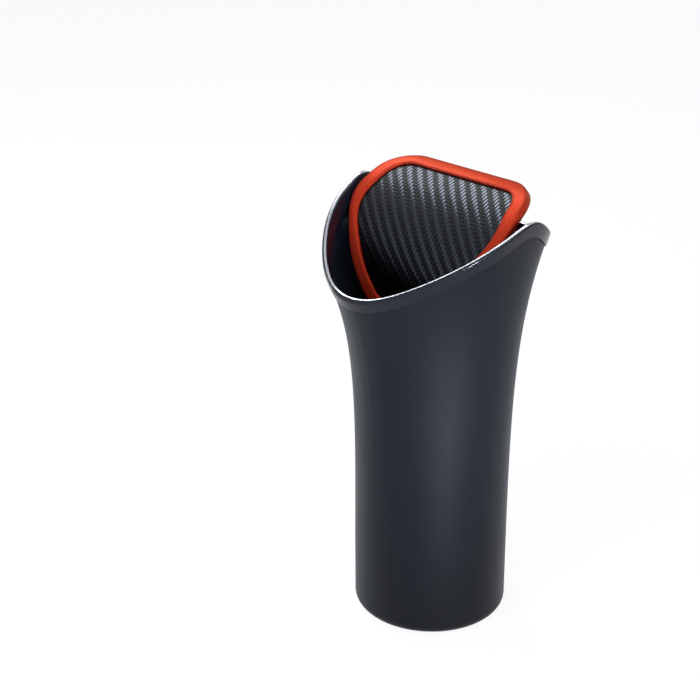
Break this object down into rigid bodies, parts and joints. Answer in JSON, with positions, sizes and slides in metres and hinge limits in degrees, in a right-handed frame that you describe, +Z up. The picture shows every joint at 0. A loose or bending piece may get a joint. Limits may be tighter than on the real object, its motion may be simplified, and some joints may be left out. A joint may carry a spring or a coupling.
{
  "type": "car trash bin",
  "caption": "Cup-holder trash bin for a car: a flared tub with a saddle-shaped rim collar and an arched swing lid that is pushed open.",
  "frame": {"origin": "centre of the base, on the plane the bin stands on", "axes": "+Z up along the round foot, X along the lid's pivot axis, -Y towards the low front of the mouth"},
  "size_m": [0.099, 0.0843, 0.1929],
  "materials": {
    "body_black": "satin",
    "collar_black": "gloss",
    "carrier_black": "matte",
    "frame_red": "satin",
    "carbon": "gloss",
    "pin_steel": "satin"
  },
  "bodies": {
    "bin": {"bin_body": "body_black", "rim_collar": "collar_black"},
    "lid": {"lid_carrier": "carrier_black", "lid_frame": "frame_red", "carbon_inlay": "carbon", "left_pivot_pin": "pin_steel", "right_pivot_pin": "pin_steel"}
  },
  "joints": [
    {"name": "lid_swing", "type": "hinge", "parent": "bin", "child": "lid", "pos_m": [0, -0.003, 0.1722], "axis": [1, 0, 0], "range_deg": [-43, 30]}
  ]
}
